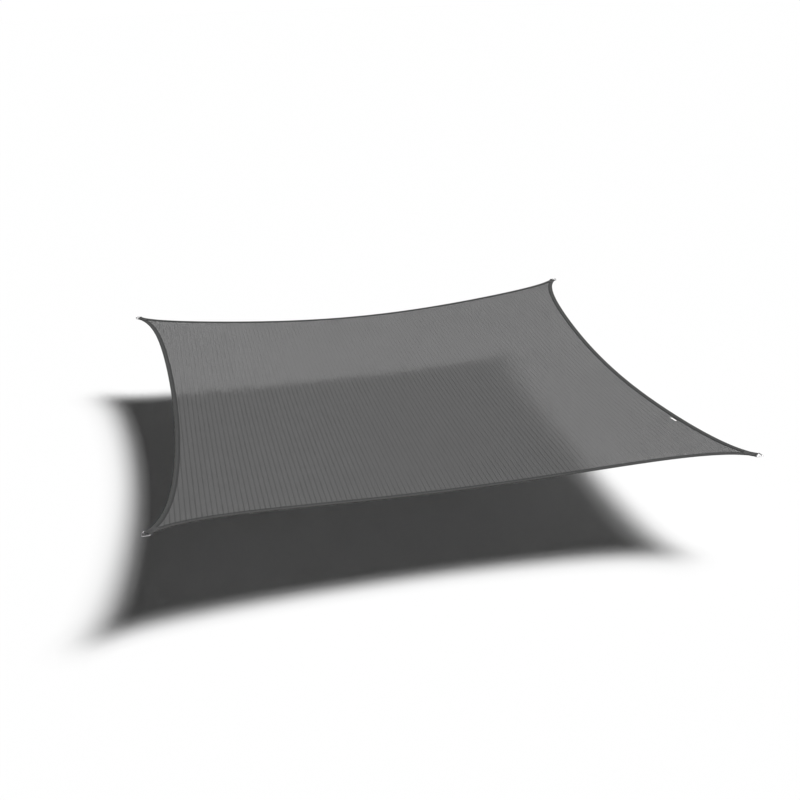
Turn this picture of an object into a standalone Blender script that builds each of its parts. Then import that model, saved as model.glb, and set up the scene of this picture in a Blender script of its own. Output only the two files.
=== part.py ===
"""Square shade sail, hung level by a steel ring at each corner.

The sail hangs between four fixings that are left out. Seen from above, each edge bows in
as a shallow arc that turns into a narrow neck at the rings. Seen from the side, the cloth
sags a little along its edges and slightly more in the middle. One height formula gives
that hung shape, and the cloth, the binding, the straps and the label all follow it.

Everything is modelled round the sail's centre, where it has a quarter-turn symmetry: the
front edge and the front left corner are made once and turned for the other three. An
empty then carries the lot, so that the origin is the point where the front left ring is
pulled. +X runs along the front edge, +Y from front to back and +Z up. Units are metres.
"""
import math

import bmesh
import bpy
from mathutils import Matrix, Vector

# The hung shape
SPAN = 3.600          # from ring tip to ring tip, along an edge
HALF = SPAN / 2
EDGE_ARC = 0.107      # bow of an edge's long arc at its middle
NECK_DEPTH = 0.117    # further bow that builds up close to each ring
NECK_REACH = 0.201    # how far from the ring tip that neck reaches
MOUTH_DEPTH = 0.019   # less bow next to the ring, where the neck is as wide as the strap
MOUTH_REACH = 0.190
EDGE_SAG = 0.1015     # drop of an edge's middle below the rings
SAG_POWER = 1.386     # above 1, the drop starts gently at the rings
CENTRE_LIFT = 0.095   # how much the taut middle stays above the sum of the edges' drops

# Cloth and sewn pieces
CLOTH_THICK = 0.0010
BINDING_THICK = 0.0010
BINDING_WIDTH = 0.033     # width that shows on each face
STRAP_THICK = 0.0015
STRAP_WIDTH = 0.042
STRAP_END = 0.116         # from the ring tip to the strap's sewn end, along the diagonal
GAP = 0.00035             # between pieces that touch
CLOTH_INSET = 0.0015      # from the binding's outer face to the cloth's cut edge
BINDING_END = 0.058       # from the ring tip to the end of a binding, along the edge
CLOTH_NOSE = 0.050        # from the ring tip to the cloth's cut corner, along the diagonal

# Corner ring, a triangle of round bar with its apex out
WIRE = 0.006
BAR_AT = 0.040            # from the ring tip to the centre line of the bar in the strap
BAR_STRAIGHT = 0.043      # straight length of that bar
RING_BEND = 0.0055        # radius of the centre line at each corner
RING_BEND_STEPS = 5       # an odd number leaves one face square to the pull at the apex

# Blank label, sewn to the right edge near the front
LABEL_LENGTH = 0.062
LABEL_WIDTH = 0.030
LABEL_THICK = 0.0010
LABEL_ALONG = 0.710       # its middle, along the edge from the front right ring tip

# Mesh steps
EDGE_STEPS = 36           # stations along an edge, closer together near its ends
END_CROWDING = 0.87       # share of the spacing that is crowded towards the ends
LOOP_STEPS = 8            # faces round the strap's loop
BAR_SIDES = 8             # faces round the ring's bar

CORNERS = ("front_left", "front_right", "back_right", "back_left")
EDGES = ("front", "right", "back", "left")

# Distances of the layers from the middle of the cloth
BINDING_LEVEL = CLOTH_THICK / 2 + GAP + BINDING_THICK / 2
STRAP_LEVEL = BINDING_LEVEL + BINDING_THICK / 2 + GAP + STRAP_THICK / 2
LABEL_LEVEL = CLOTH_THICK / 2 + GAP + LABEL_THICK / 2
LOOP_RADIUS = WIRE / 2 + GAP + STRAP_THICK / 2

DIAGONAL = Vector((1, 1, 0)).normalized()
ACROSS = Vector((1, -1, 0)).normalized()
FRONT_LEFT_TIP = Vector((-HALF, -HALF, 0))


def sail_height(x, y):
    """Height of the hung cloth's middle over a point of the plan."""
    wave_x = max(0.0, math.cos(math.pi * x / SPAN))
    wave_y = max(0.0, math.cos(math.pi * y / SPAN))
    drop = EDGE_SAG * (wave_x**SAG_POWER + wave_y**SAG_POWER)
    return CENTRE_LIFT * wave_x * wave_y - drop


def hung(plan, above=0.0):
    """The point over or under the cloth's middle at a place of the plan."""
    return Vector((plan.x, plan.y, sail_height(plan.x, plan.y) + above))


def edge_bow(along):
    """How far an edge lies inside the line between its ring tips."""
    nearest = min(along, SPAN - along)
    arc = 4 * EDGE_ARC * along * (SPAN - along) / SPAN**2
    neck = NECK_DEPTH * (1 - math.exp(-nearest / NECK_REACH))
    return arc + neck - MOUTH_DEPTH * max(0.0, 1 - nearest / MOUTH_REACH) ** 2


def front_edge(along):
    """A point of the front edge's outline and the direction into the sail there."""
    step = 0.0005
    here = Vector((along - HALF, edge_bow(along) - HALF, 0))
    run = Vector((2 * step, edge_bow(along + step) - edge_bow(along - step), 0))
    return here, Vector((-run.y, run.x, 0)).normalized()


def edge_station(number):
    """Distance along an edge of one of its stations, 0 to EDGE_STEPS."""
    even = number / EDGE_STEPS
    crowded = (1 - math.cos(math.pi * even)) / 2
    share = even + END_CROWDING * (crowded - even)
    return BINDING_END + share * (SPAN - 2 * BINDING_END)


def quarter_turn(times):
    return Matrix.Rotation(times * math.pi / 2, 3, "Z")


def principled(name, color, roughness, metallic=0.0):
    material = bpy.data.materials.new(name)
    material.use_nodes = True
    shader = material.node_tree.nodes["Principled BSDF"]
    shader.inputs["Base Color"].default_value = (*color, 1)
    shader.inputs["Roughness"].default_value = roughness
    shader.inputs["Metallic"].default_value = metallic
    material.diffuse_color = (*color, 1)
    return material


def shaped_grid(name, columns, rows, place):
    """A mesh grid whose point at a column and row is where place(column, row) says."""
    bm = bmesh.new()
    bmesh.ops.create_grid(bm, x_segments=columns, y_segments=rows, size=0.5)
    for vert in bm.verts:
        column = round((vert.co.x + 0.5) * columns)
        row = round((vert.co.y + 0.5) * rows)
        vert.co = place(column, row)
    mesh = bpy.data.meshes.new(name)
    bm.to_mesh(mesh)
    bm.free()
    mesh.shade_smooth()
    return mesh


def placed(name, data, material, parts, parent, turns=0):
    """One object of the sail, turned about the centre by quarter turns."""
    piece = bpy.data.objects.new(name, data)
    parts.objects.link(piece)
    piece.parent = parent
    piece.rotation_euler = (0, 0, turns * math.pi / 2)
    if not data.materials:
        data.materials.append(material)
    return piece


def thickened(piece, thickness):
    """Gives a sheet its thickness, half to each side."""
    solidify = piece.modifiers.new("thickness", "SOLIDIFY")
    solidify.thickness = thickness
    solidify.offset = 0
    solidify.use_even_offset = True


def cloth_rim(turns, number):
    """A point of the cloth's cut edge, numbered along that edge from nose to nose."""
    if number in (0, EDGE_STEPS + 2):
        nose = FRONT_LEFT_TIP + CLOTH_NOSE * DIAGONAL
        return quarter_turn(turns + (number > 0)) @ nose
    outline, inward = front_edge(edge_station(number - 1))
    return quarter_turn(turns) @ (outline + CLOTH_INSET * inward)


def cloth_mesh():
    """The one panel, spanned between its four cut edges."""
    steps = EDGE_STEPS + 2
    front, right, back, left = ([cloth_rim(k, i) for i in range(steps + 1)] for k in range(4))
    share = [0.0, *((edge_station(i) / SPAN) for i in range(EDGE_STEPS + 1)), 1.0]

    def place(column, row):
        u, v = share[column], share[row]
        between_long = front[column].lerp(back[steps - column], v)
        between_short = left[steps - row].lerp(right[row], u)
        corners = front[0].lerp(right[0], u).lerp(left[0].lerp(back[0], u), v)
        return hung(between_long + between_short - corners)

    return shaped_grid("sail_cloth", steps, steps, place)


def binding_mesh():
    """The front edge's binding: a tape folded over the cloth, mitred at each corner."""
    wall = BINDING_THICK / 2
    fold = (CLOTH_INSET, BINDING_LEVEL)
    section = [(BINDING_WIDTH, BINDING_LEVEL), fold, (wall, BINDING_LEVEL / 2)]
    section += [(inset, -level) for inset, level in reversed(section)]

    def place(column, row):
        outline, inward = front_edge(edge_station(column))
        inset, level = section[row]
        # the mitre runs along the diagonal of the nearer corner
        side = math.copysign(1, -outline.x)
        to_mitre = (-side * outline.x + outline.y) / (side * inward.x - inward.y)
        inset = min(inset, to_mitre - GAP)
        return hung(outline + inset * inward, level)

    return shaped_grid("edge_binding", EDGE_STEPS, len(section) - 1, place)


def strap_path():
    """The strap's run as (distance from the ring tip, height over the cloth's middle)."""
    leg = [
        (STRAP_END, STRAP_LEVEL),
        (0.101, STRAP_LEVEL),
        (0.087, STRAP_LEVEL),
        (0.072, STRAP_LEVEL),
        (BINDING_END, STRAP_LEVEL),
    ]
    loop = []
    for step in range(LOOP_STEPS + 1):
        angle = math.pi * (0.5 - step / LOOP_STEPS)
        loop.append((BAR_AT - LOOP_RADIUS * math.cos(angle), LOOP_RADIUS * math.sin(angle)))
    under = [(distance, -level) for distance, level in reversed(leg)]
    return leg + loop + under


def strap_mesh():
    """The front left corner's strap, round the ring's bar and over both faces."""
    path = strap_path()

    def place(column, row):
        distance, level = path[column]
        sideways = (row / 2 - 0.5) * STRAP_WIDTH
        return hung(FRONT_LEFT_TIP + distance * DIAGONAL + sideways * ACROSS, level)

    return shaped_grid("corner_strap", len(path) - 1, 2, place)


def ring_tilt():
    """The rings lean with the straps, which start to follow the sag at the bar."""
    bar = FRONT_LEFT_TIP + BAR_AT * DIAGONAL
    return math.atan2(-sail_height(bar.x, bar.y), BAR_AT)


def ring_curve():
    """A ring lying flat, tip at its own origin and bar towards +X."""
    apex = Vector((WIRE / 2 + RING_BEND, 0, 0))
    right, left = (Vector((BAR_AT - RING_BEND, side * BAR_STRAIGHT / 2, 0)) for side in (-1, 1))
    # the two sloping sides face this far round from +X, and the bar faces +X
    side = math.atan2(left.x - apex.x, -left.y)
    bends = ((apex, side, 2 * math.pi - side), (right, -side, 0), (left, 0, side))
    points = []
    for centre, start, end in bends:
        for step in range(RING_BEND_STEPS + 1):
            angle = start + step / RING_BEND_STEPS * (end - start)
            points.append(centre + RING_BEND * Vector((math.cos(angle), math.sin(angle), 0)))
    curve = bpy.data.curves.new("corner_ring", "CURVE")
    curve.dimensions = "3D"
    curve.twist_mode = "Z_UP"
    curve.bevel_depth = WIRE / 2
    curve.bevel_resolution = BAR_SIDES // 2 - 2
    spline = curve.splines.new("POLY")
    spline.points.add(len(points) - 1)
    for point, place in zip(spline.points, points):
        point.co = (*place, 1)
        point.tilt = math.pi / BAR_SIDES
    spline.use_cyclic_u = True
    return curve


def label_mesh():
    """The label lies on the cloth, with its root against the binding's inner edge."""
    steps = (4, 2)

    def place(column, row):
        along = LABEL_ALONG + (column / steps[0] - 0.5) * LABEL_LENGTH
        outline, inward = front_edge(along)
        inset = BINDING_WIDTH + GAP + row / steps[1] * LABEL_WIDTH
        return hung(outline + inset * inward, LABEL_LEVEL)

    return shaped_grid("blank_label", *steps, place)


def main():
    for old in list(bpy.data.objects):
        bpy.data.objects.remove(old, do_unlink=True)
    parts = bpy.data.collections.new("shade_sail")
    bpy.context.scene.collection.children.link(parts)

    cloth = principled("dark_grey_knit", (0.125, 0.125, 0.125), 0.85)
    tape = principled("charcoal_tape", (0.055, 0.056, 0.056), 0.75)
    webbing = principled("charcoal_webbing", (0.060, 0.061, 0.061), 0.70)
    steel = principled("stainless_steel", (0.62, 0.61, 0.60), 0.22, metallic=1.0)
    white = principled("white_label", (0.80, 0.80, 0.79), 0.60)

    # the front left ring's inner face at its apex is where the fixing pulls, and the origin
    ring_slope = ring_tilt()
    lean = Matrix.Rotation(math.pi / 4, 3, "Z") @ Matrix.Rotation(ring_slope, 3, "Y")
    pull_point = FRONT_LEFT_TIP + lean @ Vector((WIRE, 0, 0))
    centre = bpy.data.objects.new("sail_centre", None)
    centre.location = -pull_point
    parts.objects.link(centre)

    thickened(placed("sail_cloth", cloth_mesh(), cloth, parts, centre), CLOTH_THICK)

    binding = binding_mesh()
    for turns, edge in enumerate(EDGES):
        piece = placed(f"edge_binding_{edge}", binding, tape, parts, centre, turns)
        thickened(piece, BINDING_THICK)

    strap = strap_mesh()
    ring = ring_curve()
    for turns, corner in enumerate(CORNERS):
        piece = placed(f"corner_strap_{corner}", strap, webbing, parts, centre, turns)
        thickened(piece, STRAP_THICK)
        hoop = placed(f"corner_ring_{corner}", ring, steel, parts, centre)
        hoop.location = quarter_turn(turns) @ FRONT_LEFT_TIP
        hoop.rotation_euler = (0, ring_slope, math.pi / 4 + turns * math.pi / 2)

    label = placed("blank_label", label_mesh(), white, parts, centre, EDGES.index("right"))
    thickened(label, LABEL_THICK)


main()
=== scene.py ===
# %% [markdown]
# # A shade sail, dressed over its measured frame
# The sail is one panel of knitted shade cloth with bound, inward-curving edges. It hangs
# level from four steel rings, each held by a strap sewn over the corner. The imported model
# already says where each part is. This lesson gives every part its finer form, its thread
# and its finish, and then lights it as a studio would.

import math

import bmesh
import bpy
from mathutils import Matrix, Vector


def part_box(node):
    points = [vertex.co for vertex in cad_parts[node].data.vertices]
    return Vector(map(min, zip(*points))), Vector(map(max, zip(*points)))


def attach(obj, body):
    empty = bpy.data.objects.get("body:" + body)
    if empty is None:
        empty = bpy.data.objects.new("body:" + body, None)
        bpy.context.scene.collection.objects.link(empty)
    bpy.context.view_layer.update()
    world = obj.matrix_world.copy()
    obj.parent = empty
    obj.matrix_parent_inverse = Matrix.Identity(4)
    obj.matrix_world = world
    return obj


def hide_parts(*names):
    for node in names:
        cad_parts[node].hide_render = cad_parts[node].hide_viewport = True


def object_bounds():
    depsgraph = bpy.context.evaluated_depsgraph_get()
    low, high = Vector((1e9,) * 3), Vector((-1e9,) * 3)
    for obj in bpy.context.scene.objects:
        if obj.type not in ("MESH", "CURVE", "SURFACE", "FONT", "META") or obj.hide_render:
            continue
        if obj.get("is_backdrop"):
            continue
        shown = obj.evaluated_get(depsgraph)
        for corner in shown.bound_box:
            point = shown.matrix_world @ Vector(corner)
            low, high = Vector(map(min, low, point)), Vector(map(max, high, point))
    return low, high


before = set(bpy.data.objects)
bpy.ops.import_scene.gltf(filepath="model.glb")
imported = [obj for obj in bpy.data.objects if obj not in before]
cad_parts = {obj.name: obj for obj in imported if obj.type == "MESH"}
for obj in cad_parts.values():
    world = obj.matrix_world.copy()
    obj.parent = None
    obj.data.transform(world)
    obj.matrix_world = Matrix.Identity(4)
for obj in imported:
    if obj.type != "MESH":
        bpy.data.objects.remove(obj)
cad_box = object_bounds()
print("CAD nodes:", len(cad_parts), "box:", [tuple(round(v, 4) for v in c) for c in cad_box])

# %% [markdown]
# ## The hung shape
# A sail pulled at four corners is a saddle of low slopes. Its edges bow in, so that the pull
# runs along them, and its belly hangs a little lower than its edges. It could be simulated,
# but a taut sail has no folds to find, so one height formula and one edge formula are
# steadier, and every sewn piece can follow them exactly. Lengths are in metres.

# %% Sizes that the sail is cut and hung to
SPAN = 3.600          # from ring tip to ring tip, along an edge
HALF = SPAN / 2
EDGE_ARC = 0.107      # bow of an edge's long arc at its middle
NECK_DEPTH = 0.117    # further bow that builds up close to each ring
NECK_REACH = 0.201
MOUTH_DEPTH = 0.019   # less bow next to the ring, where the neck is as wide as the strap
MOUTH_REACH = 0.190
EDGE_SAG = 0.1015     # drop of an edge's middle below the rings
SAG_POWER = 1.386
CENTRE_LIFT = 0.095   # how much the taut middle stays above the sum of the edges' drops

DIAGONAL = Vector((1, 1, 0)).normalized()
ACROSS = Vector((1, -1, 0)).normalized()
FRONT_LEFT_TIP = Vector((-HALF, -HALF, 0))
CORNERS = ("front_left", "front_right", "back_right", "back_left")
EDGES = ("front", "right", "back", "left")


def sail_height(x, y):
    """Height of the cloth's middle over a point of the plan, from the sail's centre."""
    wave_x = max(0.0, math.cos(math.pi * x / SPAN))
    wave_y = max(0.0, math.cos(math.pi * y / SPAN))
    drop = EDGE_SAG * (wave_x**SAG_POWER + wave_y**SAG_POWER)
    return CENTRE_LIFT * wave_x * wave_y - drop


def hung(plan, above=0.0):
    """The point over or under the cloth's middle at a place of the plan."""
    return Vector((plan.x, plan.y, sail_height(plan.x, plan.y) + above))


def edge_bow(along):
    """How far an edge lies inside the line between its ring tips."""
    nearest = min(along, SPAN - along)
    arc = 4 * EDGE_ARC * along * (SPAN - along) / SPAN**2
    neck = NECK_DEPTH * (1 - math.exp(-nearest / NECK_REACH))
    return arc + neck - MOUTH_DEPTH * max(0.0, 1 - nearest / MOUTH_REACH) ** 2


def front_edge(along):
    """A point of the front edge's outline and the direction into the sail there."""
    step = 0.0005
    here = Vector((along - HALF, edge_bow(along) - HALF, 0))
    run = Vector((2 * step, edge_bow(along + step) - edge_bow(along - step), 0))
    return here, Vector((-run.y, run.x, 0)).normalized()


print("edge bow", round(edge_bow(HALF), 3), "belly", round(sail_height(0, 0), 3))

# %% Where the sail's centre is in the frame
WIRE = 0.006          # the rings' round bar
BAR_AT = 0.040        # from the ring tip to the bar that the strap goes round

ring_slope = math.atan2(-hung(FRONT_LEFT_TIP + BAR_AT * DIAGONAL).z, BAR_AT)
lean = Matrix.Rotation(math.pi / 4, 3, "Z") @ Matrix.Rotation(ring_slope, 3, "Y")
# the frame's origin is the front left ring's inner face, where a shackle pulls
TO_FRAME = Matrix.Translation(-(FRONT_LEFT_TIP + lean @ Vector((WIRE, 0, 0))))
low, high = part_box("sail_cloth")
middle = (low + high) / 2 - TO_FRAME.translation
print("cloth's middle is off the centre by", round(middle.x, 5), round(middle.y, 5))

# %% [markdown]
# ## Camera
# The view was measured on the outline of the sail: a slightly long lens, about five metres
# off and three metres up, looking down by a quarter of a right angle. A tracked empty would
# also aim it, but then the small roll of the picture would be lost, so the three turns are
# given outright.

# %% Camera at the photograph's place
LENS = 50.53                         # on a 36 mm wide square frame
CAMERA_AT = Vector((0.2733, -5.3423, 3.0214))
YAW, PITCH_DOWN, ROLL = (math.radians(angle) for angle in (-12.038, 23.735, -1.448))

camera_data = bpy.data.cameras.new("camera")
camera_data.lens = LENS
camera_data.sensor_width = 36
camera_data.dof.use_dof = False
camera = bpy.data.objects.new("camera", camera_data)
aim = Matrix.Rotation(YAW, 4, "Z") @ Matrix.Rotation(math.pi / 2 - PITCH_DOWN, 4, "X")
camera.matrix_world = Matrix.Translation(CAMERA_AT) @ aim @ Matrix.Rotation(ROLL, 4, "Z")
bpy.context.scene.collection.objects.link(camera)
bpy.context.scene.camera = camera
print("camera", [round(v, 3) for v in camera.location])

# %% [markdown]
# ## Node helpers
# A material is a small graph. It could be wired up line by line, but a few helpers keep it
# short enough to read. They add a node, a step of arithmetic, a change of range or a scaled
# colour, and start a material. An input that is a socket is linked, and anything else is a
# plain value.

# %% Helpers for shader graphs
def node(tree, kind, inputs=None, **settings):
    """Adds a node, and links or sets each of its inputs by name or number."""
    made = tree.nodes.new(kind)
    for name, value in settings.items():
        setattr(made, name, value)
    for key, value in (inputs or {}).items():
        if isinstance(value, bpy.types.NodeSocket):
            tree.links.new(value, made.inputs[key])
        else:
            made.inputs[key].default_value = value
    return made


def maths(tree, operation, *values):
    """One arithmetic step, as a socket."""
    return node(tree, "ShaderNodeMath", dict(enumerate(values)), operation=operation).outputs[0]


def ranged(tree, value, from_low, from_high, to_low, to_high, smooth=False):
    """A value carried from one range to another and held at its ends."""
    inputs = {"Value": value, "From Min": from_low, "From Max": from_high}
    inputs.update({"To Min": to_low, "To Max": to_high})
    kind = "SMOOTHSTEP" if smooth else "LINEAR"
    made = node(tree, "ShaderNodeMapRange", inputs, interpolation_type=kind)
    return made.outputs["Result"]


def scaled_color(tree, color, factor):
    """A colour times a factor that changes over the surface."""
    made = node(tree, "ShaderNodeVectorMath", {"Scale": factor}, operation="SCALE")
    if isinstance(color, bpy.types.NodeSocket):
        tree.links.new(color, made.inputs[0])
    else:
        made.inputs[0].default_value = color
    return made.outputs["Vector"]


def new_material(name, tone, **constants):
    """A Principled material, its constants set on the shader's own sockets."""
    material = bpy.data.materials.new(name)
    material.use_nodes = True
    material.diffuse_color = (*tone, 1)
    shader = material.node_tree.nodes["Principled BSDF"]
    shader.inputs["Base Color"].default_value = (*tone, 1)
    for socket, value in constants.items():
        shader.inputs[socket.replace("_", " ")].default_value = value
    return material, material.node_tree, shader


print("helpers:", *(made.__name__ for made in (node, maths, ranged, scaled_color, new_material)))

# %% [markdown]
# ## Floor, backdrop and light
# Such a sail is photographed over a seamless white floor, with strong light from the right,
# so its shadow is deep with a soft rim. An area light near the sail would fall off across
# the floor, so sun lamps with wide discs are used. The world is white only to the camera.
# To the rest it is nearly dark, or the shadow would turn grey.

# %% Floor
FLOOR_DROP = 0.62                    # the rings' height over the floor
FLOOR_RADIUS = 40
FLOOR_TONE = (0.826, 0.826, 0.826)

bm = bmesh.new()
bmesh.ops.create_circle(bm, cap_ends=True, segments=64, radius=FLOOR_RADIUS)
bmesh.ops.translate(bm, verts=bm.verts, vec=(HALF, HALF, -FLOOR_DROP))
floor_mesh = bpy.data.meshes.new("floor")
bm.to_mesh(floor_mesh)
bm.free()
floor = bpy.data.objects.new("floor", floor_mesh)
bpy.context.scene.collection.objects.link(floor)
paper = new_material("white_floor", FLOOR_TONE, Roughness=1.0, Specular_IOR_Level=0.0)[0]
floor_mesh.materials.append(paper)
floor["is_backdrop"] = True
print("floor", FLOOR_DROP, "m below the rings")

# %% Sun and world
SUN_PATH = Vector((-0.42, -0.055, -0.62))  # the way its light travels
SUN_STRENGTH = 4.54
SUN_DISCS = ((0.45, 14.5), (0.55, 26.0))   # (share of the light, width in degrees)
BACKDROP = 1.0                       # the world's strength to the camera
FILL = 0.0145                        # and to everything else
GLOSS_FILL = 0.22                    # what polished steel sees besides, of the studio's walls

# one disc has an even face and leaves a hard inner rim, so a narrow and a wide one share
for share, width in SUN_DISCS:
    sun_data = bpy.data.lights.new("key", "SUN")
    sun_data.energy = share * SUN_STRENGTH
    sun_data.angle = math.radians(width)
    sun = bpy.data.objects.new("key", sun_data)
    sun.rotation_euler = SUN_PATH.to_track_quat("-Z", "Y").to_euler()
    bpy.context.scene.collection.objects.link(sun)

world = bpy.data.worlds.new("studio")
world.use_nodes = True
bpy.context.scene.world = world
tree = world.node_tree
tree.nodes.clear()
path = node(tree, "ShaderNodeLightPath")
seen = maths(tree, "MULTIPLY", path.outputs["Is Camera Ray"], BACKDROP - FILL)
strength = maths(tree, "MULTIPLY_ADD", path.outputs["Is Glossy Ray"], GLOSS_FILL, FILL)
strength = maths(tree, "ADD", strength, seen)
light = node(tree, "ShaderNodeBackground", {"Color": (1, 1, 1, 1), "Strength": strength})
node(tree, "ShaderNodeOutputWorld", {"Surface": light.outputs[0]})
bpy.context.scene.view_settings.view_transform = "Standard"
elevation = math.degrees(math.atan2(-SUN_PATH.z, SUN_PATH.xy.length))
print("sun", round(elevation, 1), "degrees high")

# %% [markdown]
# ## Two effects that several finishes share
# Tape, webbing and the label are all woven, and everything but the label is a little uneven
# in tone or in polish. Copies of the same nodes in each material would drift apart, so each
# effect is one node group. A group puts out only heights and factors, and each material
# decides what to do with them.

# %% Group: plain weave, from a map in metres
WEAVE_PAINTED_SHADE, WEAVE_PAINTED_HIGHLIGHT = 0.86, 0.18   # painted shade where a thread dives, and the painted highlight's gain on top
GRAIN_SPAN = (0.3, 0.7)              # of the noise that makes the yarn's fine grain
GRAIN_TONES = (0.93, 1.07)           # and what the grain does to the tone


def new_group(name, inputs, outputs):
    """An empty group, with the two nodes that hold what it is given and what it puts out."""
    group = bpy.data.node_groups.new(name, "ShaderNodeTree")
    for label, kind in inputs:
        group.interface.new_socket(label, in_out="INPUT", socket_type=kind)
    for label in outputs:
        group.interface.new_socket(label, in_out="OUTPUT", socket_type="NodeSocketFloat")
    return group, group.nodes.new("NodeGroupInput"), group.nodes.new("NodeGroupOutput")


weave_group, given, result = new_group(
    "plain_weave",
    (("Map", "NodeSocketVector"), ("Warp", "NodeSocketFloat"), ("Weft", "NodeSocketFloat")),
    ("Height", "Shade_and_grain"),
)
tree = weave_group
place = node(tree, "ShaderNodeSeparateXYZ", {0: given.outputs["Map"]})
warp = maths(tree, "DIVIDE", place.outputs["X"], given.outputs["Warp"])
weft = maths(tree, "DIVIDE", place.outputs["Y"], given.outputs["Weft"])
over = maths(tree, "MULTIPLY", *(maths(tree, "SINE", maths(tree, "MULTIPLY", v, math.pi))
                                 for v in (warp, weft)))
rounded = maths(tree, "MULTIPLY_ADD", over, 0.5, 0.5)
grain = node(tree, "ShaderNodeTexNoise",
             {"Vector": given.outputs["Map"], "Scale": 900.0, "Detail": 2.0})
tree.links.new(rounded, result.inputs["Height"])
# the tone follows the weave's height: painted shade where a thread dives, painted highlight where
# it rides on top; the grain is the yarn's own
tone = maths(tree, "MULTIPLY_ADD", rounded, WEAVE_PAINTED_HIGHLIGHT, WEAVE_PAINTED_SHADE)
grain_tone = ranged(tree, grain.outputs["Fac"], *GRAIN_SPAN, *GRAIN_TONES)
tone = maths(tree, "MULTIPLY", tone, grain_tone)
tree.links.new(tone, result.inputs["Shade_and_grain"])
print(weave_group.name, "puts out", [s.name for s in result.inputs if s.name])

# %% Group: uneven tone, from Object coordinates
tone_group, given, result = new_group(
    "uneven_tone",
    (("Place", "NodeSocketVector"), ("Coarse", "NodeSocketFloat"), ("Fine", "NodeSocketFloat"),
     ("Amount", "NodeSocketFloat")),
    ("Factor",),
)
tree = tone_group
coarse, fine = (
    node(tree, "ShaderNodeTexNoise",
         {"Vector": given.outputs["Place"], "Scale": given.outputs[size], "Detail": 3.0})
    for size in ("Coarse", "Fine")
)
both = maths(tree, "ADD", coarse.outputs["Fac"], fine.outputs["Fac"])
swing = maths(tree, "MULTIPLY", maths(tree, "SUBTRACT", both, 1.0), given.outputs["Amount"])
tree.links.new(maths(tree, "ADD", swing, 1.0), result.inputs["Factor"])


def woven(tree, own_map, warp, weft):
    """Places the weave, with threads this far apart, and returns what it puts out."""
    inputs = {"Map": own_map, "Warp": warp, "Weft": weft}
    return node(tree, "ShaderNodeGroup", inputs, node_tree=weave_group).outputs


def unevenness(tree, place, coarse, fine, amount):
    """Places the uneven tone and returns its factor."""
    inputs = {"Place": place, "Coarse": coarse, "Fine": fine, "Amount": amount}
    return node(tree, "ShaderNodeGroup", inputs, node_tree=tone_group).outputs["Factor"]


def bumped(tree, shader, height, distance):
    """Sends a height over the surface to the shader's normal."""
    inputs = {"Height": height, "Distance": distance, "Strength": 1.0}
    made = node(tree, "ShaderNodeBump", inputs)
    tree.links.new(made.outputs["Normal"], shader.inputs["Normal"])


print(tone_group.name, "puts out", [s.name for s in result.inputs if s.name])

# %% [markdown]
# ## Finish of the knitted cloth
# Shade cloth is knitted from flat plastic yarn. Fine chains of loops run from front to back,
# with small slots between them, and every 29 mm a denser chain draws a dark line. Beside it
# the slots are wider, like the rungs of a ladder, and the yarn's uneven tension makes that
# ladder come and go. Seen close up the slots are real holes, and from a few metres they let
# a little of the background through. A painted translucency would look like smoked glass
# close up, so the slots are cut with Alpha in a pattern on Object coordinates, which both
# faces share.

# %% Sizes and tones of the knit
RIB_PITCH = SPAN / 122.83            # as many ribs as the photograph shows
RIB_SHIFT = 0.0061                   # how far the pattern is off the middle of the sail
WALE = RIB_PITCH / 12                # width of one chain of loops
WANDER = 0.5                         # of a wale, how far a chain wanders sideways in all
COURSE = 0.0050                      # length of one slot and the bar of yarn after it
SLOT_HALF = (0.143, 0.199)           # of a wale and of a course
SLOT_RIM = (0.85, 1.15)              # where the slot's ellipse ends and the yarn is whole
SLOT_SHADE = 0.355                   # of the light, stopped at each face
LADDER_HALF = 0.16                   # of a rib's pitch, where the slots are wider
LADDER_OPEN = 0.51                   # how much wider they are there
LADDER_DARK = 0.17                   # how much darker the yarn is there
LADDER_FADE = 0.2                    # of its half width, how softly it ends on both sides
TENSION_SPAN = (0.35, 0.65)          # of the noise that stands for the yarn's tension
SLACK = (0.68, 1.32)                 # how faint and how strong a ladder gets by it
CLOTH_TONE = (0.1112, 0.1112, 0.1112)
LOOP_SHADE_AND_HIGHLIGHT = (0.86, 1.08)            # painted shade down beside the loops, painted highlight on top of them
LOOP_BEAD = 0.22                     # how much a loop stands out along its chain

PATTERN_AT = TO_FRAME @ Vector((RIB_SHIFT, 0, 0))
print("wale", round(WALE * 1000, 2), "mm, rib pitch", round(RIB_PITCH * 1000, 2), "mm")

# %% Material: knit with slots
def pattern_axes(tree, place):
    """A place's coordinates, counted from where the knit's pattern starts."""
    centred = node(tree, "ShaderNodeVectorMath",
                   {0: place, 1: tuple(PATTERN_AT)}, operation="SUBTRACT")
    return node(tree, "ShaderNodeSeparateXYZ", {0: centred.outputs[0]}).outputs


def distance_to_rib(tree, axes):
    """How far a place is from the nearest rib, as a share of their pitch."""
    rib = maths(tree, "FRACT", maths(tree, "DIVIDE", axes["X"], RIB_PITCH))
    return maths(tree, "ABSOLUTE", maths(tree, "SUBTRACT", rib, 0.5))


knit, tree, shader = new_material("dark_grey_knit", CLOTH_TONE, Roughness=0.78,
                                  Specular_IOR_Level=0.25)
place = node(tree, "ShaderNodeTexCoord").outputs["Object"]
axes = pattern_axes(tree, place)
wander = node(tree, "ShaderNodeTexNoise", {"Vector": place, "Scale": 70.0, "Detail": 2.0})
drift = maths(tree, "MULTIPLY_ADD", wander.outputs["Fac"], WANDER, -WANDER / 2)
wale = maths(tree, "MULTIPLY_ADD", axes["X"], 1 / WALE, drift)
column = maths(tree, "FLOOR", wale)
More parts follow.
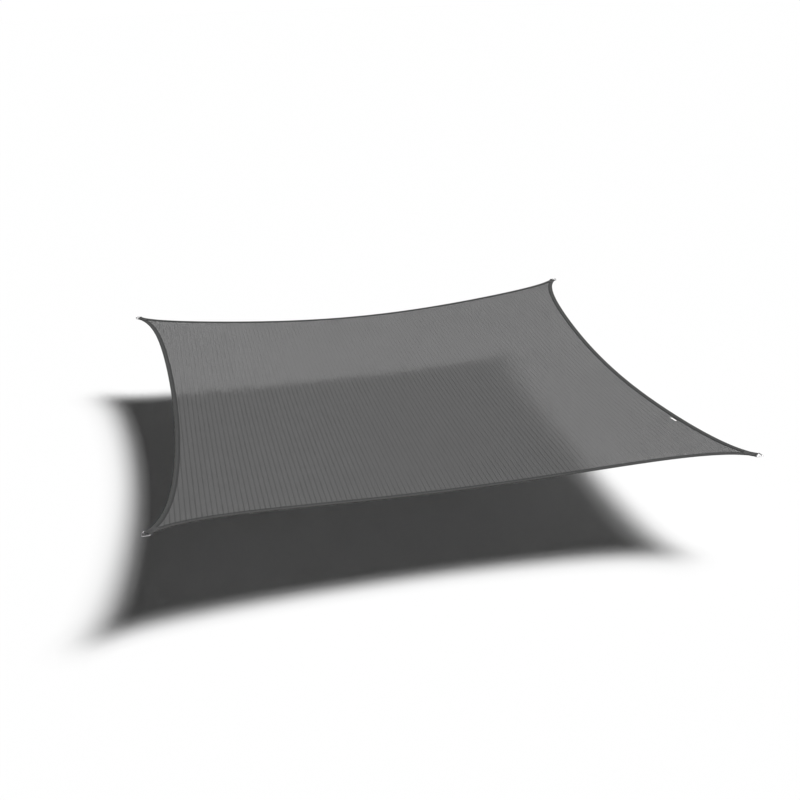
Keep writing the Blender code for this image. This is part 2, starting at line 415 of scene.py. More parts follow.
# every second column is half a course further on
stagger = maths(tree, "MULTIPLY", maths(tree, "MODULO", column, 2.0), 0.5)
course = maths(tree, "MULTIPLY_ADD", axes["Y"], 1 / COURSE, stagger)
across = maths(tree, "SUBTRACT", maths(tree, "FRACT", wale), 0.5)
lengthways = maths(tree, "SUBTRACT", maths(tree, "FRACT", course), 0.5)

# the yarn's tension changes from place to place, so a ladder comes and goes
ladder = ranged(tree, distance_to_rib(tree, axes), LADDER_HALF * (1 - LADDER_FADE),
                LADDER_HALF * (1 + LADDER_FADE), 1.0, 0.0)
tension = node(tree, "ShaderNodeTexNoise", {"Vector": place, "Scale": 26.0, "Detail": 1.0})
slack = ranged(tree, tension.outputs["Fac"], *TENSION_SPAN, *SLACK)
slack = maths(tree, "MULTIPLY", slack, ladder)

slot_x = maths(tree, "POWER", maths(tree, "DIVIDE", across, SLOT_HALF[0]), 2.0)
slot_y = maths(tree, "POWER", maths(tree, "DIVIDE", lengthways, SLOT_HALF[1]), 2.0)
opened = maths(tree, "MULTIPLY_ADD", slack, -LADDER_OPEN, 1.0)
reach = maths(tree, "MULTIPLY", maths(tree, "ADD", slot_x, slot_y), opened)
solid = ranged(tree, reach, *SLOT_RIM, 0.0, 1.0)
# slanting light is partly stopped by the yarn's edges, so the slots pass less of it
rays = node(tree, "ShaderNodeLightPath")
stopped = maths(tree, "MULTIPLY", rays.outputs["Is Shadow Ray"], SLOT_SHADE)
tree.links.new(maths(tree, "MAXIMUM", solid, stopped), shader.inputs["Alpha"])
print("slot", [round(2000 * half * size, 2) for half, size in zip(SLOT_HALF, (WALE, COURSE))], "mm")

# %% The knit's relief and tone
chain = maths(tree, "MULTIPLY", maths(tree, "ABSOLUTE", across), 2.0)
loop = maths(tree, "COSINE", maths(tree, "MULTIPLY", course, 4 * math.pi))
bead = maths(tree, "MULTIPLY_ADD", loop, LOOP_BEAD, 1 - LOOP_BEAD)
relief = maths(tree, "MULTIPLY", chain, bead)
bumped(tree, shader, relief, distance=0.0004)
# the tone follows the relief: painted shade beside the loops, painted highlight on top of them
shaded = maths(tree, "MULTIPLY", ranged(tree, relief, 0.0, 1.0, *LOOP_SHADE_AND_HIGHLIGHT),
               unevenness(tree, place, coarse=9.0, fine=110.0, amount=0.16))
shaded = maths(tree, "MULTIPLY", shaded, maths(tree, "MULTIPLY_ADD", slack, -LADDER_DARK, 1.0))
tree.links.new(scaled_color(tree, CLOTH_TONE, shaded), shader.inputs["Base Color"])
print("knit graph of", len(tree.nodes), "nodes")

# %% Material: the denser chain of a rib
RIB_TONE = (0.066, 0.067, 0.066)
BEAD_SHADE_AND_HIGHLIGHT = (0.80, 1.12)            # painted shade between its loops, painted highlight on top of them

chain_knit, tree, shader = new_material("rib_chain", RIB_TONE, Roughness=0.7)
place = node(tree, "ShaderNodeTexCoord").outputs["Object"]
axes = node(tree, "ShaderNodeSeparateXYZ", {0: place})
loops = maths(tree, "MULTIPLY", axes.outputs["Y"], 2 * math.pi / (COURSE / 2))
beads = maths(tree, "MULTIPLY_ADD", maths(tree, "SINE", loops), 0.5, 0.5)
bumped(tree, shader, beads, distance=0.0005)
# darker between the loops and lighter on top of them: painted shade and highlight
shaded = maths(tree, "MULTIPLY", ranged(tree, beads, 0.0, 1.0, *BEAD_SHADE_AND_HIGHLIGHT),
               unevenness(tree, place, coarse=28.0, fine=90.0, amount=0.9))
tree.links.new(scaled_color(tree, RIB_TONE, shaded), shader.inputs["Base Color"])
print("rib tone", RIB_TONE)

# %% [markdown]
# ## Finish of the binding tape and the webbing
# The binding is a charcoal woven tape, folded over the cut edge. Its weave runs along the
# edge wherever the edge turns, so it reads the piece's own map, which is in metres: along
# the tape first, then across it. The ribs of the cloth press faintly through it, and those
# ticks read Object coordinates, because they belong to the cloth underneath. Bands across the
# tape paint a highlight where it puffs up and shade where it lies close on the cloth. The
# webbing of the straps is coarser and darker, and its woven edges and sewn end get a painted
# highlight. The thread of both is a little paler than they are. One weave at two scales
# serves tape and webbing.

# %% Material: binding tape
BINDING_WIDTH = 0.033
TAPE_TONE = (0.0514, 0.0522, 0.0518)
TICK_HALF, TICK_TONE = 0.09, 0.70    # half its width, of a rib's pitch, and its darkest tone
TICK_HEIGHT = 1.2                    # of the weave's own height
PATCH_SPAN = (0.42, 0.62)            # of the noise that lets a tick show or not
# where each band of painted highlight and shade starts and ends, in from the fold, and the factor
# beyond it
TAPE_PAINTED_BANDS = (
    (0.0090, 0.0130, 1.08),          # painted highlight from its first seam on, where it puffs up
    (0.0200, 0.0240, 0.68),          # painted shade on its last third, which lies close on the cloth
    (0.0295, 0.0320, 0.72),          # painted shade along the selvedge, where the tape meets the cloth
)

tape, tree, shader = new_material("charcoal_tape", TAPE_TONE, Roughness=0.72,
                                  Specular_IOR_Level=0.3)
coordinates = node(tree, "ShaderNodeTexCoord").outputs
place = coordinates["Object"]
weave = woven(tree, coordinates["UV"], warp=0.0011, weft=0.0014)
from_rib = distance_to_rib(tree, pattern_axes(tree, place))
tick = ranged(tree, from_rib, 0.0, TICK_HALF, 1.0, 0.0, smooth=True)
patches = node(tree, "ShaderNodeTexNoise", {"Vector": place, "Scale": 14.0, "Detail": 1.0})
shown = ranged(tree, patches.outputs["Fac"], *PATCH_SPAN, 0.0, 1.0)
tick = maths(tree, "MULTIPLY", tick, shown)
shade = maths(tree, "MULTIPLY", weave["Shade_and_grain"],
              unevenness(tree, place, coarse=6.0, fine=70.0, amount=0.22))
# the tape's own map says how far across it a point is, on both sides of the fold
tape_map = node(tree, "ShaderNodeSeparateXYZ", {0: coordinates["UV"]}).outputs
from_fold = maths(tree, "ABSOLUTE", tape_map["Y"])
# each band paints highlight or shade across the tape
for start, stop, factor in TAPE_PAINTED_BANDS:
    band = ranged(tree, from_fold, start, stop, 1.0, factor, smooth=True)
    shade = maths(tree, "MULTIPLY", shade, band)
shade = maths(tree, "MULTIPLY", shade, ranged(tree, tick, 0.0, 1.0, 1.0, TICK_TONE))
tree.links.new(scaled_color(tree, TAPE_TONE, shade), shader.inputs["Base Color"])
height = maths(tree, "MULTIPLY_ADD", tick, TICK_HEIGHT, weave["Height"])
bumped(tree, shader, height, distance=0.00018)
print("tape tone", TAPE_TONE)

# %% Material: strap webbing
WEBBING_TONE = (0.0370, 0.0370, 0.0372)
STRAP_THICK, STRAP_WIDTH = 0.0015, 0.042
EDGE_FROM, EDGE_TO = 0.008, 0.003    # from the strap's side, where the painted highlight of its woven edge starts
EDGE_HIGHLIGHT_TONES = (0.74, 1.80)            # in the strap's middle, and with the painted highlight on its woven edges
SEWN_PART, SEWN_FADE = 0.033, 0.004  # of the strap's run, at its upper end, where the sewn box gets a painted highlight
SEWN_HIGHLIGHT = 1.35

webbing, tree, shader = new_material("charcoal_webbing", WEBBING_TONE, Roughness=0.6)
coordinates = node(tree, "ShaderNodeTexCoord").outputs
weave = woven(tree, coordinates["UV"], warp=0.0019, weft=0.0013)
# the webbing's own map says how far along it and across it a point is
webbing_map = node(tree, "ShaderNodeSeparateXYZ", {0: coordinates["UV"]}).outputs
across = maths(tree, "SUBTRACT", webbing_map["Y"], STRAP_WIDTH / 2)
# painted highlight on the woven edges, and on the sewn end of the upper leg
edge_highlight = ranged(tree, maths(tree, "ABSOLUTE", across), STRAP_WIDTH / 2 - EDGE_FROM,
                    STRAP_WIDTH / 2 - EDGE_TO, *EDGE_HIGHLIGHT_TONES, smooth=True)
sewn_highlight = ranged(tree, webbing_map["X"], SEWN_PART - SEWN_FADE, SEWN_PART, SEWN_HIGHLIGHT, 1.0)
shade = maths(tree, "MULTIPLY", weave["Shade_and_grain"],
              unevenness(tree, coordinates["Object"], coarse=30.0, fine=260.0, amount=0.2))
shade = maths(tree, "MULTIPLY", shade, maths(tree, "MAXIMUM", edge_highlight, sewn_highlight))
tree.links.new(scaled_color(tree, WEBBING_TONE, shade), shader.inputs["Base Color"])
bumped(tree, shader, weave["Height"], distance=0.0004)
print("webbing tone", WEBBING_TONE)

# %% Material: sewing thread
THREAD_TONE = (0.105, 0.107, 0.110)

thread, tree, shader = new_material("grey_thread", THREAD_TONE, Roughness=0.5)
place = node(tree, "ShaderNodeTexCoord").outputs["Object"]
twist = node(tree, "ShaderNodeTexNoise", {"Vector": place, "Scale": 2500.0, "Detail": 1.0})
uneven = unevenness(tree, place, coarse=12.0, fine=400.0, amount=0.3)
tree.links.new(scaled_color(tree, THREAD_TONE, uneven), shader.inputs["Base Color"])
bumped(tree, shader, twist.outputs["Fac"], distance=0.0002)
print("thread tone", THREAD_TONE)

# %% [markdown]
# ## Finish of the steel and the label
# The rings are polished stainless bar. Polished steel is mostly what it reflects, so its
# colour stays plain and the interest is in its roughness: soft smears from handling, and
# fine draw marks in the normal. The label is white ribbon whose sewn-in root is near black.

# %% Material: stainless steel
STEEL_TONE = (0.56, 0.55, 0.56)
STEEL_ROUGHNESS = 0.27

steel, tree, shader = new_material("stainless_steel", STEEL_TONE, Metallic=1.0)
place = node(tree, "ShaderNodeTexCoord").outputs["Object"]
smears = unevenness(tree, place, coarse=60.0, fine=500.0, amount=0.6)
tree.links.new(maths(tree, "MULTIPLY", smears, STEEL_ROUGHNESS), shader.inputs["Roughness"])
marks = node(tree, "ShaderNodeTexNoise", {"Vector": place, "Scale": 1500.0, "Detail": 2.0})
bumped(tree, shader, marks.outputs["Fac"], distance=0.00002)
print("steel tone", STEEL_TONE)

# %% Material: blank label
LABEL_ROOT = 0.0130                  # width of its near-black root
ROOT_RIM = 0.0003                    # half the width over which it turns white
LABEL_WHITE, LABEL_DARK = (0.90, 0.90, 0.89), (0.010, 0.010, 0.010)

ribbon, tree, shader = new_material("white_label", LABEL_WHITE, Roughness=0.55,
                                    Specular_IOR_Level=0.2)
own_map = node(tree, "ShaderNodeTexCoord").outputs["UV"]
weave = woven(tree, own_map, warp=0.0007, weft=0.0005)
from_seam = node(tree, "ShaderNodeSeparateXYZ", {0: own_map}).outputs["Y"]
white_share = ranged(tree, from_seam, LABEL_ROOT - ROOT_RIM, LABEL_ROOT + ROOT_RIM, 0.0, 1.0)
blend = node(tree, "ShaderNodeMix", {"Factor": white_share}, data_type="RGBA")
blend.inputs["A"].default_value = (*LABEL_DARK, 1)
blend.inputs["B"].default_value = (*LABEL_WHITE, 1)
shade = scaled_color(tree, blend.outputs["Result"], weave["Shade_and_grain"])
tree.links.new(shade, shader.inputs["Base Color"])
bumped(tree, shader, weave["Height"], distance=0.0001)
print("label root", LABEL_ROOT * 1000, "mm")

# %% [markdown]
# ## One way to shape cloth
# The panel, the binding, the straps and the label are all sheets that follow the hung shape.
# Each starts as a flat grid. Every point of the grid has a column and a row, and a small
# function says where that column and row hang. The same grid carries the map for the weave.

# %% Helper: a grid whose points are placed by a function
def shaped_grid(bm, columns, rows, place, pattern=None):
    """Adds a grid to bm and returns its verts. pattern gives a point's map, in metres."""
    layer = bm.loops.layers.uv.verify() if pattern else None
    made = bmesh.ops.create_grid(bm, x_segments=columns, y_segments=rows, size=0.5)["verts"]
    number = {}
    for vert in made:
        number[vert] = (round((vert.co.x + 0.5) * columns), round((vert.co.y + 0.5) * rows))
        vert.co = place(*number[vert])
    if pattern:
        for vert, station in number.items():
            for loop in vert.link_loops:
                loop[layer].uv = pattern(*station)
    return made


def finished(name, bm, material, slot, turns=0):
    """Turns a bmesh by quarter turns into its place in the frame and makes it a piece."""
    mesh = bpy.data.meshes.new(name)
    bm.to_mesh(mesh)
    mesh.transform(TO_FRAME @ Matrix.Rotation(turns * math.pi / 2, 4, "Z"))
    mesh.materials.append(material)
    mesh.shade_smooth()
    piece = bpy.data.objects.new(name, mesh)
    bpy.context.scene.collection.objects.link(piece)
    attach(piece, "root")
    return piece


def thickened(piece, thickness):
    """Gives a sheet its thickness, half to each side."""
    solidify = piece.modifiers.new("thickness", "SOLIDIFY")
    solidify.thickness = thickness
    solidify.offset = 0
    solidify.use_even_offset = True


print("helpers:", *(made.__name__ for made in (shaped_grid, finished, thickened)))

# %% [markdown]
# ## The cloth panel
# The panel is spanned between its four cut edges: each point is a blend of the front and
# back edges, plus a blend of the left and right ones, less the blend of the four corners,
# which would otherwise count twice. Trimming a square grid with a cutter would leave ragged
# slivers along the curves, while here the rows of faces run along every edge.

# %% The panel
CLOTH_THICK = 0.0002
CLOTH_INSET = 0.0015      # from the binding's outer face to the cloth's cut edge
BINDING_END = 0.058       # from the ring tip to the end of a binding, along the edge
CLOTH_NOSE = 0.050        # from the ring tip to the cloth's cut corner, along the diagonal
CLOTH_STEPS = 144
END_CROWDING = 0.87       # how much the stations crowd towards the rings


def edge_station(number, steps):
    """Distance along an edge of one of its stations."""
    even = number / steps
    crowded = (1 - math.cos(math.pi * even)) / 2
    share = even + END_CROWDING * (crowded - even)
    return BINDING_END + share * (SPAN - 2 * BINDING_END)


def cloth_rim(turns):
    """The cloth's cut edge along one side, from nose to nose."""
    nose = FRONT_LEFT_TIP + CLOTH_NOSE * DIAGONAL
    stations = [front_edge(edge_station(i, CLOTH_STEPS)) for i in range(CLOTH_STEPS + 1)]
    points = [outline + CLOTH_INSET * inward for outline, inward in stations]
    rim = [nose, *points, Matrix.Rotation(math.pi / 2, 3, "Z") @ nose]
    return [Matrix.Rotation(turns * math.pi / 2, 3, "Z") @ point for point in rim]


front, right, back, left = (cloth_rim(turns) for turns in range(4))
last = len(front) - 1
shares = [0.0, *(edge_station(i, CLOTH_STEPS) / SPAN for i in range(CLOTH_STEPS + 1)), 1.0]


def cloth_point(column, row):
    """A point of the panel, blended from its four edges and hung."""
    u, v = shares[column], shares[row]
    between_long = front[column].lerp(back[last - column], v)
    between_short = left[last - row].lerp(right[row], u)
    corners = front[0].lerp(right[0], u).lerp(left[0].lerp(back[0], u), v)
    return hung(between_long + between_short - corners)


bm = bmesh.new()
shaped_grid(bm, last, last, cloth_point)
cloth = finished("cloth_panel", bm, knit, "cloth")
bm.free()
thickened(cloth, CLOTH_THICK)
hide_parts("sail_cloth")
print("cloth", len(cloth.data.polygons), "faces before its thickness")

# %% [markdown]
# ## The ribs of the knit
# Every 29 mm a denser chain stands slightly proud of both faces, from the front edge to the
# back edge. Bump alone would vanish at the outline and under raking light, so each chain is
# a thin flattened tube that runs along the cloth. Where the side edges bow in, a chain is
# cut in two, and its ends are tucked under the bindings.

# %% The ribs
RIB_HALF_WIDTH = 0.00135
RIB_HALF_HEIGHT = 0.00052
RIB_SIDES = 6
RIB_ROWS = 52
CORNER_CLEAR = 0.075      # from the ring tips, sideways, to the first and the last rib
SHORTEST_RIB = 0.030
HALVINGS = 30


def side_reach(x):
    """The y at which a rib at x, coming from the front edge, meets the left edge."""
    short, long = BINDING_END, HALF
    for _ in range(HALVINGS):
        guess = (short + long) / 2
        inside = edge_bow(guess) + CLOTH_INSET < x + HALF
        short, long = (guess, long) if inside else (short, guess)
    return short - HALF


def rib_spans(x):
    """The stretches in y that the cloth covers at x."""
    start = edge_bow(x + HALF) + CLOTH_INSET - HALF
    if edge_bow(HALF) + CLOTH_INSET < HALF - abs(x):
        return [(start, -start)]
    stop = side_reach(-abs(x))
    return [(start, stop), (-stop, -start)] if stop - start > SHORTEST_RIB else []


def add_rib(bm, x, start, stop):
    """A thin flattened tube along the cloth, closed to a point at both ends."""
    def place(column, row):
        angle = 2 * math.pi * column / RIB_SIDES
        thick = 0.0 if row in (0, RIB_ROWS) else 1.0
        y = start + (stop - start) * row / RIB_ROWS
        side = thick * RIB_HALF_WIDTH * math.cos(angle)
        return Vector((x + side, y, sail_height(x, y) - thick * RIB_HALF_HEIGHT * math.sin(angle)))

    shaped_grid(bm, RIB_SIDES, RIB_ROWS, place)


bm = bmesh.new()
count = int((HALF - CORNER_CLEAR) / RIB_PITCH - 0.5)
for number in range(-count - 1, count + 1):
    rib_x = (number + 0.5) * RIB_PITCH + RIB_SHIFT
    for start, stop in rib_spans(rib_x):
        add_rib(bm, rib_x, start, stop)
bmesh.ops.remove_doubles(bm, verts=bm.verts, dist=1e-6)
bmesh.ops.recalc_face_normals(bm, faces=bm.faces)
ribs = finished("knit_ribs", bm, chain_knit, "cloth")
bm.free()
print("ribs", 2 * count + 2, "lines,", len(ribs.data.polygons), "faces")

# %% [markdown]
# ## The bindings
# The binding is one strip of tape folded over the cloth and sewn through twice. Its section
# is a narrow U: a round fold outside, then a flat leg on each face that puffs up between the
# seams and is drawn in where they hold it. One section swept along the edge gives all of
# that, and at the corners it is held back at the diagonal, where a maker mitres the tape.

# %% The bindings
BINDING_THICK = 0.0010
CLOTH_ROOM = 0.0010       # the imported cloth's thickness, which the binding folds over
GAP = 0.00035             # between pieces that are sewn together
BINDING_LEVEL = CLOTH_ROOM / 2 + GAP + BINDING_THICK / 2
BINDING_STEPS = 190
FOLD_STEPS = 5
FOLD_LENGTH = 0.0018
GATHERED = 0.1            # how much closer to the mitre the tape's inner border may come
SEAMS = (0.0105, 0.0165)  # from the outer edge
# how far in from the outer edge, and how much that place puffs up or is drawn in
LEG = (
    (0.0042, 0.00018),
    (0.0072, 0.00024),
    (0.0092, 0.00006),
    (SEAMS[0], -0.00014),
    (0.0118, 0.00004),
    (0.0135, 0.00018),
    (0.0152, 0.00004),
    (SEAMS[1], -0.00014),
    (0.0180, 0.00004),
    (0.0215, 0.00016),
    (0.0265, 0.00012),
    (0.0310, 0.00002),
    (BINDING_WIDTH, -0.00006),
)


def binding_section():
    """The folded section as (distance in from the outer edge, level, place across the tape)."""
    half = []
    for step in range(FOLD_STEPS + 1):
        angle = math.pi / 2 * step / FOLD_STEPS
        inset = BINDING_THICK / 2 + FOLD_LENGTH * (1 - math.cos(angle))
        half.append((inset, BINDING_LEVEL * math.sin(angle)))
    half += [(inset, BINDING_LEVEL + puff) for inset, puff in LEG]
    over = [(inset, level, inset) for inset, level in reversed(half)]
    under = [(inset, -level, -inset) for inset, level in half[1:]]
    return over + under


section = binding_section()
binding_stations = [edge_station(i, BINDING_STEPS) for i in range(BINDING_STEPS + 1)]
binding_frames = [front_edge(along) for along in binding_stations]


def to_mitre(outline, inward):
    """How far in from an outline point the diagonal of the nearer corner is."""
    side = math.copysign(1, -outline.x)
    return (-side * outline.x + outline.y) / (side * inward.x - inward.y) - GAP


def binding_point(column, row):
    """A point of the binding: its section, at one of the edge's stations."""
    outline, inward = binding_frames[column]
    inset, level, _ = section[row]
    # what would pass the mitre is gathered just short of it
    limit = to_mitre(outline, inward) * (1 - GATHERED + GATHERED * inset / BINDING_WIDTH)
    return hung(outline + min(inset, limit) * inward, level)


def binding_map(column, row):
    """Along the tape and across it, counted from its fold."""
    return binding_stations[column], section[row][2]


bm = bmesh.new()
shaped_grid(bm, BINDING_STEPS, len(section) - 1, binding_point, binding_map)
for turns, edge in enumerate(EDGES):
    piece = finished(f"binding_{edge}", bm, tape, "binding", turns)
    thickened(piece, BINDING_THICK)
    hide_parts(f"edge_binding_{edge}")
bm.free()
print("binding section of", len(section), "points")

# %% [markdown]
# ## Sewing
# A lockstitch shows as a row of short threads that dive into the tape at both ends. Each
# stitch here is a stretched ball with few faces, half sunk in the tape, so its ends dive by
# themselves. The ball is a grid rolled up and merged at its poles. Thousands of stitches
# are made in one mesh, because a thousand objects would be slow, and a dashed line in the
# colour alone would lie flat.

# %% Stitches along the bindings
STITCH_PITCH = 0.010
STITCH_LENGTH = 0.0072
THREAD = 0.0009
SUNK = 0.00010            # how deep a stitch's middle lies in the tape
SEAM_START = 0.080        # from the ring tips
STITCH_SIDES, STITCH_LEVELS = 5, 4       # faces round a stitch and along it
UP = Vector((0, 0, 1))


def ball_point(column, row):
    """A point of a ball of radius 1 with its poles on z."""
    around, down = 2 * math.pi * column / STITCH_SIDES, math.pi * row / STITCH_LEVELS
    return Vector((math.sin(down) * math.sin(around), math.sin(down) * math.cos(around),
                   math.cos(down)))


bm = bmesh.new()
shaped_grid(bm, STITCH_SIDES, STITCH_LEVELS, ball_point)
bmesh.ops.remove_doubles(bm, verts=bm.verts, dist=1e-6)
bmesh.ops.recalc_face_normals(bm, faces=bm.faces)
one_stitch = bpy.data.meshes.new("one stitch")
bm.to_mesh(one_stitch)
bm.free()


def add_stitch(bm, middle, along, length):
    """One stitch lying on a nearly level surface, its long axis along the seam."""
    run = along.normalized()
    side = UP.cross(run).normalized()
    turn = Matrix((side, run.cross(side), run)).transposed().to_4x4()
    size = Matrix.Diagonal((THREAD / 2, THREAD / 2, length / 2, 1))
    placed = one_stitch.copy()
    placed.transform(Matrix.Translation(middle) @ turn @ size)
    bm.from_mesh(placed)
    bpy.data.meshes.remove(placed)


def seam_point(along, inset, level):
    """A point of a seam along the front edge."""
    outline, inward = front_edge(along)
    return hung(outline + inset * inward, level)


bm = bmesh.new()
seam_count = int((SPAN - 2 * SEAM_START) / STITCH_PITCH)
for inset in SEAMS:
    for number in range(seam_count):
        along = SEAM_START + (number + 0.5) * STITCH_PITCH
        for face in (1, -1):
            level = face * (BINDING_LEVEL + BINDING_THICK / 2 - SUNK)
            here = seam_point(along, inset, level)
            ahead = seam_point(along + STITCH_PITCH / 2, inset, level)
            add_stitch(bm, here, ahead - here, STITCH_LENGTH)
stitching = [finished(f"seam_{edge}", bm, thread, "binding", turns)
             for turns, edge in enumerate(EDGES)]
bm.free()
print("stitches on each edge", 4 * seam_count)

# %% [markdown]
# ## Straps
# At each corner a length of webbing goes round the ring's bar and is sewn over both faces
# of the sail. Seen edge on it is a hairpin: two flat legs that close up behind the bar and a
# round loop that holds it. A path of distances and levels is swept across the strap's width,
# and a small bevel rounds its woven edges.

# %% The straps
STRAP_END = 0.116         # from the ring tip to the strap's sewn end, along the diagonal
STRAP_LEVEL = BINDING_LEVEL + BINDING_THICK / 2 + GAP + STRAP_THICK / 2
LOOP_RADIUS = WIRE / 2 + GAP + STRAP_THICK / 2
PINCH_AT, PINCH_LEVEL = 0.0495, 0.0024   # where the legs are closest, behind the bar
LANDING = 0.060           # where they have come to lie on the bindings
LEG_STEPS, LOOP_STEPS, STRAP_ROWS = 40, 16, 12


def eased(value, low, high):
    """How far a value has come from low to high, with a soft start and end."""
    share = min(1.0, max(0.0, (value - low) / (high - low)))
    return share * share * (3 - 2 * share)


def leg_level(distance):
    """Level of a strap's leg: closed up behind the bar, then lying on the binding."""
    closing = LOOP_RADIUS + (PINCH_LEVEL - LOOP_RADIUS) * eased(distance, BAR_AT, PINCH_AT)
    return closing + (STRAP_LEVEL - PINCH_LEVEL) * eased(distance, PINCH_AT, LANDING)


def strap_path():
    """The strap's run as (distance from the ring tip, level)."""
    distances = [STRAP_END + (BAR_AT - STRAP_END) * i / LEG_STEPS for i in range(LEG_STEPS)]
    over = [(distance, leg_level(distance)) for distance in distances]
    loop = []
    for step in range(LOOP_STEPS + 1):
        angle = math.pi * (0.5 - step / LOOP_STEPS)
        loop.append((BAR_AT - LOOP_RADIUS * math.cos(angle), LOOP_RADIUS * math.sin(angle)))
    under = [(distance, -level) for distance, level in reversed(over)]
    return over + loop + under


path = strap_path()
run = [0.0]
for before, after in zip(path, path[1:]):
    run.append(run[-1] + math.dist(before, after))


def by_corner(distance, sideways, level):
    """A hung point near the front left ring, by its place along and across the diagonal."""
    return hung(FRONT_LEFT_TIP + distance * DIAGONAL + sideways * ACROSS, level)


def strap_point(column, row):
    """A point of the strap, over or under the cloth's middle."""
    distance, level = path[column]
    return by_corner(distance, (row / STRAP_ROWS - 0.5) * STRAP_WIDTH, level)


def strap_map(column, row):
    """Along the webbing and across it."""
    return run[column], row / STRAP_ROWS * STRAP_WIDTH


bm = bmesh.new()
shaped_grid(bm, len(path) - 1, STRAP_ROWS, strap_point, strap_map)
for turns, corner in enumerate(CORNERS):
    piece = finished(f"strap_{corner}", bm, webbing, "strap", turns)
    thickened(piece, STRAP_THICK)
    rounding = piece.modifiers.new("woven edge", "BEVEL")
    rounding.width = STRAP_THICK / 3
    rounding.segments = 2
    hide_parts(f"corner_strap_{corner}")
bm.free()
print("strap length", round(run[-1], 3))

# %% Stitches on the straps
BOX_NEAR, BOX_FAR = 0.080, 0.1115    # the sewn box, along the diagonal
BOX_SIDE = STRAP_WIDTH / 2 - 0.004
LONG_ROW_NEAR = 0.0640
SHORT_STITCH, SHORT_PITCH = 0.0034, 0.0042
SHORT_SUNK = 0.00008      # how deep their middles lie in the webbing
AHEAD = 0.4               # of a pitch, to the point that gives a stitch its direction

box_corners = ((BOX_NEAR, -BOX_SIDE), (BOX_NEAR, BOX_SIDE), (BOX_FAR, BOX_SIDE),
               (BOX_FAR, -BOX_SIDE))
seam_lines = [(box_corners[i], box_corners[(i + 1) % 4]) for i in range(4)]
seam_lines += [(box_corners[0], box_corners[2]), (box_corners[1], box_corners[3])]
seam_lines += [((LONG_ROW_NEAR, side), (BOX_NEAR, side)) for side in (-BOX_SIDE, BOX_SIDE)]
seam_lines += [((LONG_ROW_NEAR, -BOX_SIDE), (LONG_ROW_NEAR, BOX_SIDE))]


def on_strap(distance, sideways, face):
    """A stitch's middle on one of the strap's two outer faces."""
    return by_corner(distance, sideways,
                     face * (leg_level(distance) + STRAP_THICK / 2 - SHORT_SUNK))


bm = bmesh.new()
for start, stop in seam_lines:
    start, stop = Vector(start), Vector(stop)
    steps = max(2, round((stop - start).length / SHORT_PITCH))
    for number in range(steps):
        here = start.lerp(stop, (number + 0.5) / steps)
        ahead = start.lerp(stop, (number + 0.5 + AHEAD) / steps)
        for face in (1, -1):
            middle = on_strap(*here, face)
            add_stitch(bm, middle, on_strap(*ahead, face) - middle, SHORT_STITCH)
strap_seams = [finished(f"strap_seam_{corner}", bm, thread, "strap", turns)
               for turns, corner in enumerate(CORNERS)]
bm.free()
print("seam lines on each strap face", len(seam_lines))

# %% [markdown]
# ## Rings
# A triangular ring is bent from round bar: three straight runs joined by three tight bends,
# closed by a weld. The bar's path is a list of stations, each the centre of a bend and how
# far round it the bar has turned, so a straight run is just the gap between two bends. A
# grid is rolled round the path and its edges are merged. Extruding and spinning a circle
# would do too, but those number their faces in another order each time the script runs.

# %% The rings
BAR_STRAIGHT = 0.043      # straight length of the bar in the strap
RING_BEND = 0.0055        # radius of the centre line at each bend
BAR_SIDES = 24
BEND_STEPS = 12

apex = Vector((WIRE / 2 + RING_BEND, 0, 0))
bar_middle = Vector((BAR_AT - RING_BEND, 0, 0))
to_left = Vector((0, BAR_STRAIGHT / 2, 0))
base_turn = math.atan2(bar_middle.x - apex.x, -to_left.y)
FULL_TURN = 2 * math.pi


def bend(centre, start, stop):
    """The stations of one bend, which takes the bar from one heading to another."""
    return [(centre, start + (stop - start) * step / BEND_STEPS)
            for step in range(BEND_STEPS + 1)]


bar_stations = [(bar_middle, 0.0),
                *bend(bar_middle + to_left, 0.0, base_turn),
                *bend(apex, base_turn, FULL_TURN - base_turn),
                *bend(bar_middle - to_left, FULL_TURN - base_turn, FULL_TURN),
                (bar_middle, FULL_TURN)]


def bar_point(column, row):
    """A point of the bar's round skin at one of its stations."""
    centre, turned = bar_stations[column]
    around = FULL_TURN * row / BAR_SIDES
    reach = RING_BEND + WIRE / 2 * math.cos(around)
    return centre + Vector((reach * math.cos(turned), reach * math.sin(turned),
                            WIRE / 2 * math.sin(around)))


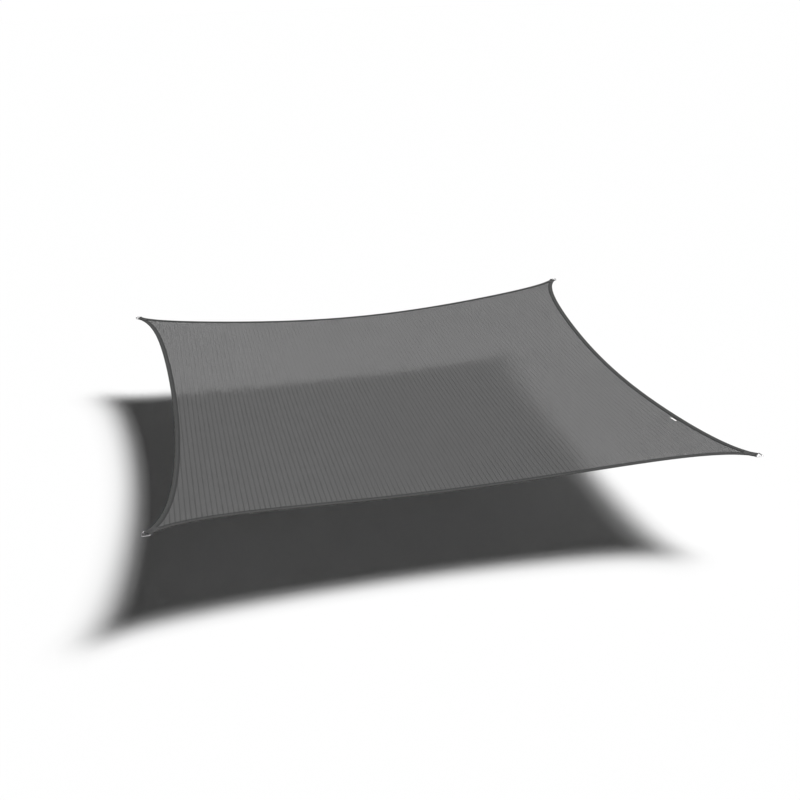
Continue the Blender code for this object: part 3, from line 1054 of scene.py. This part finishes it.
bm = bmesh.new()
shaped_grid(bm, len(bar_stations) - 1, BAR_SIDES, bar_point)
bmesh.ops.remove_doubles(bm, verts=bm.verts, dist=1e-6)
bmesh.ops.recalc_face_normals(bm, faces=bm.faces)
bmesh.ops.transform(bm, matrix=Matrix.Translation(FRONT_LEFT_TIP) @ lean.to_4x4(), verts=bm.verts)
for turns, corner in enumerate(CORNERS):
    piece = finished(f"ring_{corner}", bm, steel, "ring", turns)
    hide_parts(f"corner_ring_{corner}")
print("ring of", len(bm.faces), "faces, open edges:", sum(e.is_boundary for e in bm.edges))
bm.free()

# %% [markdown]
# ## The label
# A small blank ribbon is caught under the binding of the right edge. It lies on the cloth,
# but its loose end lifts a little, as sewn-in labels do. It needs no lettering to look real:
# a soft curl, a woven surface and the dark root by the seam are enough.

# %% The label
LABEL_LENGTH = 0.062
LABEL_WIDTH = 0.030
LABEL_THICK = 0.0006
LABEL_ROOM = 0.0010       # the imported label's thickness
LABEL_ALONG = 0.710       # its middle, along the edge from the front right ring tip
LABEL_LEVEL = CLOTH_ROOM / 2 + GAP + LABEL_ROOM / 2
LABEL_LIFT = 0.0030       # of its loose end
LABEL_WAVE, WAVE_START = 0.15, 0.15   # of that lift, and of the label's length
LABEL_STEPS = (24, 14)


def label_place(column, row):
    """Along the edge from the label's middle, and in from the binding."""
    return (column / LABEL_STEPS[0] - 0.5) * LABEL_LENGTH, row / LABEL_STEPS[1] * LABEL_WIDTH


def label_point(column, row):
    """A point of the label, which lifts off the cloth towards its loose end."""
    beside, out = label_place(column, row)
    outline, inward = front_edge(LABEL_ALONG + beside)
    free = (out / LABEL_WIDTH) ** 2
    turn = 2 * math.pi * (beside / LABEL_LENGTH + WAVE_START)
    wave = 1 - LABEL_WAVE + LABEL_WAVE * math.cos(turn)
    lift = LABEL_LIFT * free * wave
    return hung(outline + (BINDING_WIDTH + GAP + out) * inward, LABEL_LEVEL + lift)


bm = bmesh.new()
shaped_grid(bm, *LABEL_STEPS, label_point, label_place)
label = finished("label", bm, ribbon, "label", EDGES.index("right"))
bm.free()
thickened(label, LABEL_THICK)
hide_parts("blank_label")
print("label", [round(1000 * size, 1) for size in label.dimensions], "mm")

# %% [markdown]
# ## The size of the dressed sail
# The box of the dressed sail is printed beside the box of the imported model.

# %% Write both boxes
look_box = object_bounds()
for kind, box in (("CAD", cad_box), ("visual", look_box)):
    print(kind, [[round(v, 4) for v in corner] for corner in box])
